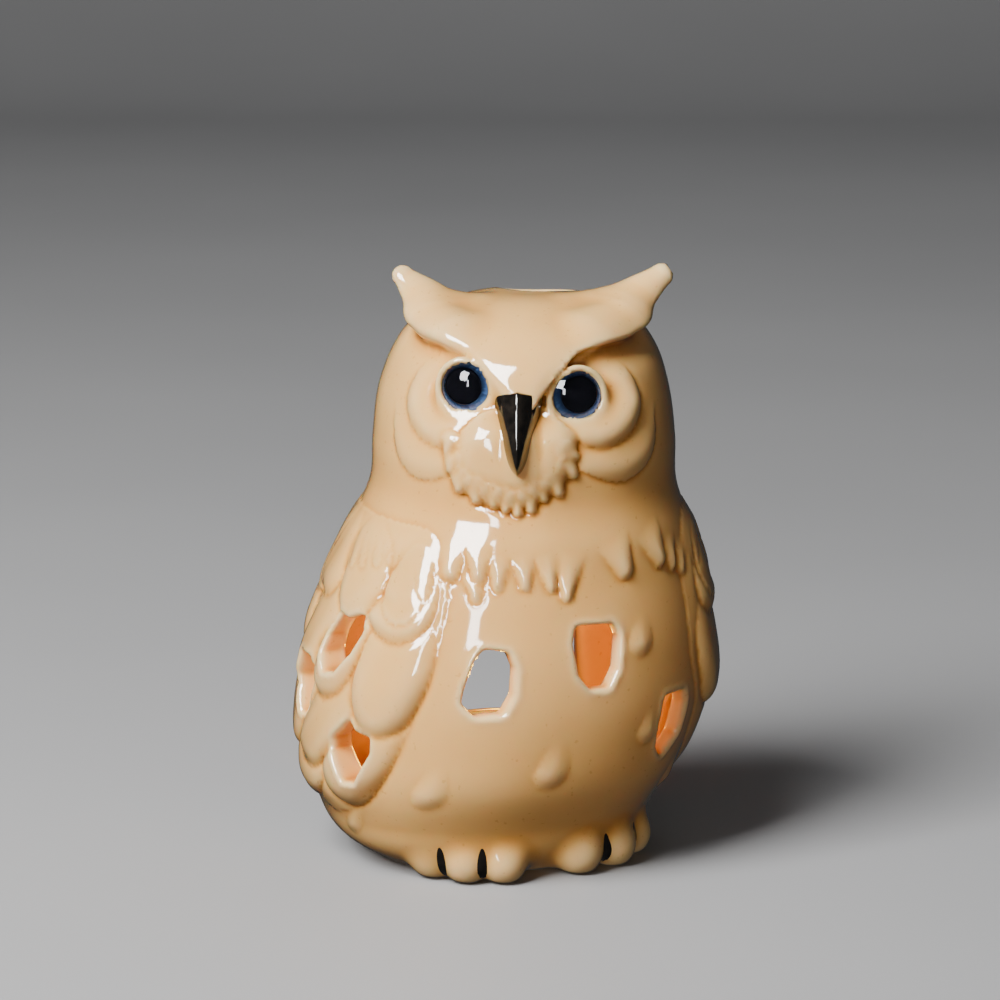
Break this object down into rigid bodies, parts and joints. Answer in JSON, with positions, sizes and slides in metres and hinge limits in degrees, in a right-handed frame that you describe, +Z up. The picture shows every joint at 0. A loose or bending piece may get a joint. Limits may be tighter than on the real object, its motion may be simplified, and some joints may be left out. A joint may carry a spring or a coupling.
{
  "type": "owl tealight lantern",
  "caption": "Hollow glazed ceramic owl figurine with cut windows, glass eyes, a chimney hole and a rear doorway for a tealight.",
  "frame": {"origin": "under the middle of the object's bounding box, on the surface that it stands on", "axes": "+Z up, the breast faces -Y, +X is the owl's own left; the tealight slides out towards the back, 10 degrees from +Y"},
  "size_m": [0.0856, 0.0783, 0.12],
  "materials": {
    "glaze": "glossy translucent amber cream glaze, paler on raised edges and darker in grooves",
    "black_glaze": "glossy black glaze",
    "eye_glass": "clear polished glass",
    "iris": "slate blue iris paint with a lighter ring and a navy rim",
    "pupil": "black",
    "cup_aluminium": "drawn aluminium",
    "wax": "soft white paraffin wax",
    "sustainer_tin": "tinned steel",
    "wick_cotton": "braided cotton"
  },
  "bodies": {
    "owl": {"owl_shell": "glaze", "beak": "black_glaze", "left_eye_glass": "eye_glass", "right_eye_glass": "eye_glass", "left_eye_iris": "iris", "right_eye_iris": "iris", "left_eye_pupil": "pupil", "right_eye_pupil": "pupil", "claw_marks": "black_glaze"},
    "tealight": {"tealight_cup": "cup_aluminium"},
    "candle": {"tealight_wax": "wax", "wick_sustainer": "sustainer_tin", "wick": "wick_cotton"}
  },
  "joints": [
    {"name": "tealight_withdraw", "type": "slide", "parent": "owl", "child": "tealight", "axis": [0.1736, 0.9848, 0], "range_m": [0, 0.085]},
    {"name": "candle_lift", "type": "slide", "parent": "tealight", "child": "candle", "axis": [0, 0, 1], "range_m": [0, 0.02]}
  ]
}
